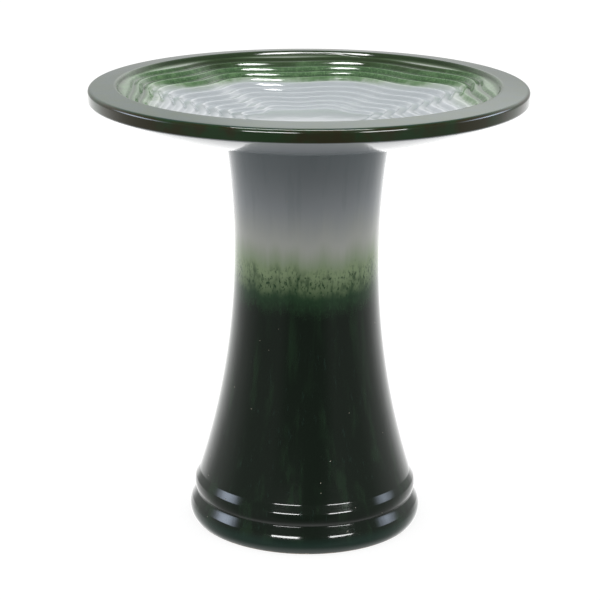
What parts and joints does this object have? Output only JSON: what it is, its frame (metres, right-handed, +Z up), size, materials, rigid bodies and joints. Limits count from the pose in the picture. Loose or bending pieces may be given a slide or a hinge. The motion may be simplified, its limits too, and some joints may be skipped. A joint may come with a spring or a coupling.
{
  "type": "pedestal bird bath",
  "caption": "Free-standing glazed stoneware bird bath: a shallow terraced basin that lifts off a hollow, waisted pedestal with ringed foot.",
  "frame": {"origin": "centre of the pedestal's foot ring, on the ground", "axes": "+Z up along the common axis of the pedestal and the basin; the object is round, so X and Y are free, and one wave of the bowl's steps points 26.5 degrees from +X"},
  "size_m": [0.52, 0.52, 0.5432],
  "materials": {
    "basin_glaze": "gloss",
    "pedestal_glaze": "gloss",
    "pad_rubber": "satin"
  },
  "bodies": {
    "pedestal": {"pedestal": "pedestal_glaze", "seat_pad_1": "pad_rubber", "seat_pad_2": "pad_rubber", "seat_pad_3": "pad_rubber"},
    "basin": {"basin": "basin_glaze"}
  },
  "joints": [
    {"name": "basin_lift", "type": "slide", "parent": "pedestal", "child": "basin", "axis": [0, 0, 1], "range_m": [0, 0.15]}
  ]
}
